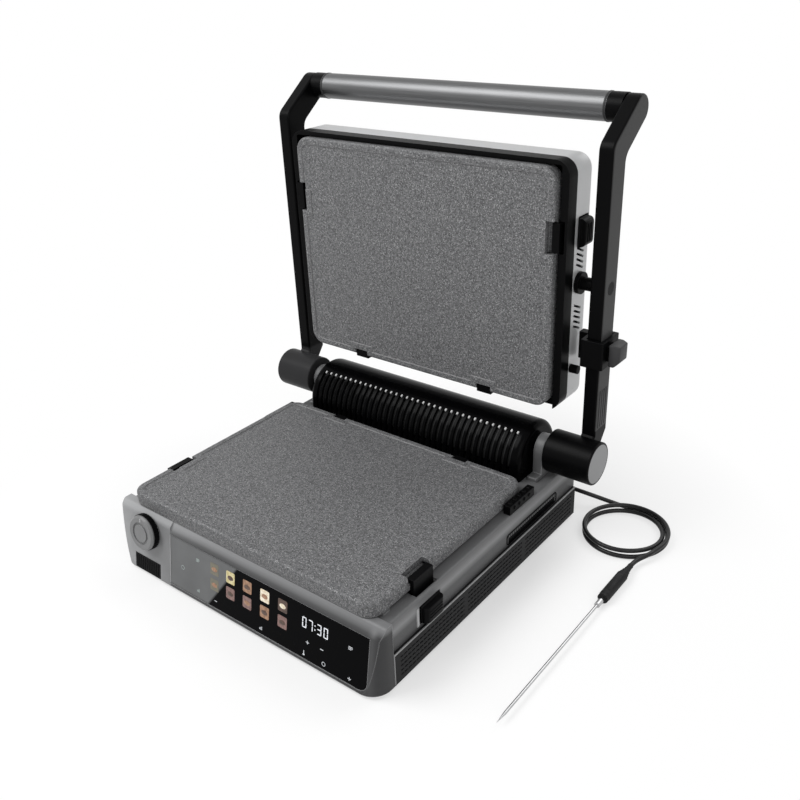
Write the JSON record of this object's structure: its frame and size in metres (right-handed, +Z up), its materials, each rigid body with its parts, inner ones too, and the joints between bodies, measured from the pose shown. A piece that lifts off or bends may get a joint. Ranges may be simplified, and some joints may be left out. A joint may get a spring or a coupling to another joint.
{
  "type": "smokeless contact grill",
  "caption": "Countertop grill with hinged lid, coated plates, slotted smoke extractor, touch panel, knob, drip drawer, plate latches and a meat probe on a coiled lead.",
  "frame": {"origin": "centre of the grill's own outline at worktop level, lid open, probe and lead left out", "axes": "+X along the hinge to the right, +Y to the rear, +Z up"},
  "size_m": [0.4579, 0.364, 0.4102],
  "materials": {
    "body_grey": "satin",
    "black_plastic": "matte",
    "black_gloss": "gloss",
    "black_cast": "black powder coat",
    "panel_glass": "gloss black print behind",
    "stone_coat": "speckled non-stick coating",
    "silver_shell": "satin silver",
    "satin_steel": "satin grey",
    "bright_steel": "bright",
    "disc_silver": "spun",
    "board_green": "solder mask",
    "mesh_steel": "woven mesh",
    "rubber_black": "matte"
  },
  "bodies": {
    "base": {"base_housing": "body_grey", "bottom_cover": "black_plastic", "feet": "rubber_black", "base_screws": "bright_steel", "side_panel_right": "body_grey", "side_panel_left": "body_grey", "rim_guards": "black_plastic", "front_fascia": "body_grey", "touch_glass": "panel_glass", "display_board": "board_green", "knob_encoder": "black_plastic", "lower_plate": "stone_coat", "lower_hooks": "black_plastic", "lower_reflector": "bright_steel", "lower_heater": "bright_steel", "lower_sensor": "bright_steel", "power_board": "board_green", "mains_gland": "black_plastic", "probe_socket": "black_plastic", "latch_lower_pins": "bright_steel", "extractor_cover": "black_gloss", "extractor_back": "black_plastic", "grease_filter": "mesh_steel", "fan_motor": "bright_steel", "fan_bearing": "bright_steel", "hinge_posts": "body_grey", "hinge_pins": "bright_steel", "probe_plug": "black_plastic", "probe_lead": "rubber_black", "probe_coil": "rubber_black", "probe_tail": "rubber_black", "probe_handle": "black_plastic", "probe_needle": "bright_steel"},
    "control_knob": {"knob": "body_grey", "knob_shaft": "bright_steel"},
    "drip_drawer": {"drip_tray": "black_plastic", "drip_tray_front": "black_plastic"},
    "lower_latch_right": {"latch_lower_right": "black_plastic"},
    "lower_latch_left": {"latch_lower_left": "black_plastic"},
    "fan": {"fan_drum": "black_plastic", "fan_shaft": "bright_steel"},
    "arms": {"arm_right": "black_cast", "arm_left": "black_cast", "hinge_caps": "disc_silver", "grip_tube": "satin_steel", "grip_ends": "black_plastic"},
    "lid": {"lid_shell": "silver_shell", "lid_carrier": "black_plastic", "lid_plate": "stone_coat", "lid_hooks": "black_plastic", "lid_reflector": "bright_steel", "lid_heater": "bright_steel", "lid_sensor": "bright_steel", "lid_studs": "bright_steel", "lid_stops": "black_plastic", "latch_upper_pins": "bright_steel"},
    "upper_latch_right": {"latch_upper_right": "black_plastic"},
    "upper_latch_left": {"latch_upper_left": "black_plastic"},
    "lid_height_lock": {"height_lock": "black_plastic"}
  },
  "joints": [
    {"name": "lid_hinge", "type": "hinge", "parent": "base", "child": "arms", "pos_m": [0, 0.109, 0.09], "axis": [-1, 0, 0], "range_deg": [-90, 0]},
    {"name": "lid_tilt", "type": "hinge", "parent": "arms", "child": "lid", "pos_m": [0, 0.131, 0.253], "axis": [1, 0, 0], "range_deg": [0, 6]},
    {"name": "height_lock_slide", "type": "slide", "parent": "arms", "child": "lid_height_lock", "axis": [0, 0, 1], "range_m": [-0.02, 0]},
    {"name": "upper_latch_right_press", "type": "hinge", "parent": "lid", "child": "upper_latch_right", "pos_m": [0.1505, 0.1225, 0.299], "axis": [0, 0, 1], "range_deg": [0, 8], "stiffness_Nm_per_rad": 0.6},
    {"name": "upper_latch_left_press", "type": "hinge", "parent": "lid", "child": "upper_latch_left", "pos_m": [-0.1505, 0.1225, 0.299], "axis": [0, 0, -1], "range_deg": [0, 8], "stiffness_Nm_per_rad": 0.6},
    {"name": "lower_latch_right_press", "type": "hinge", "parent": "base", "child": "lower_latch_right", "pos_m": [0.1505, -0.1, 0.057], "axis": [0, 1, 0], "range_deg": [0, 8], "stiffness_Nm_per_rad": 0.6},
    {"name": "lower_latch_left_press", "type": "hinge", "parent": "base", "child": "lower_latch_left", "pos_m": [-0.1505, -0.1, 0.057], "axis": [0, -1, 0], "range_deg": [0, 8], "stiffness_Nm_per_rad": 0.6},
    {"name": "knob_turn", "type": "hinge", "parent": "base", "child": "control_knob", "pos_m": [-0.119, -0.16701, 0.0483], "axis": [0, -0.9848, 0.1736], "continuous": true},
    {"name": "drip_drawer_slide", "type": "slide", "parent": "base", "child": "drip_drawer", "axis": [0, -1, 0], "range_m": [0, 0.11]},
    {"name": "fan_spin", "type": "hinge", "parent": "base", "child": "fan", "pos_m": [0, 0.115, 0.087], "axis": [1, 0, 0], "continuous": true}
  ]
}
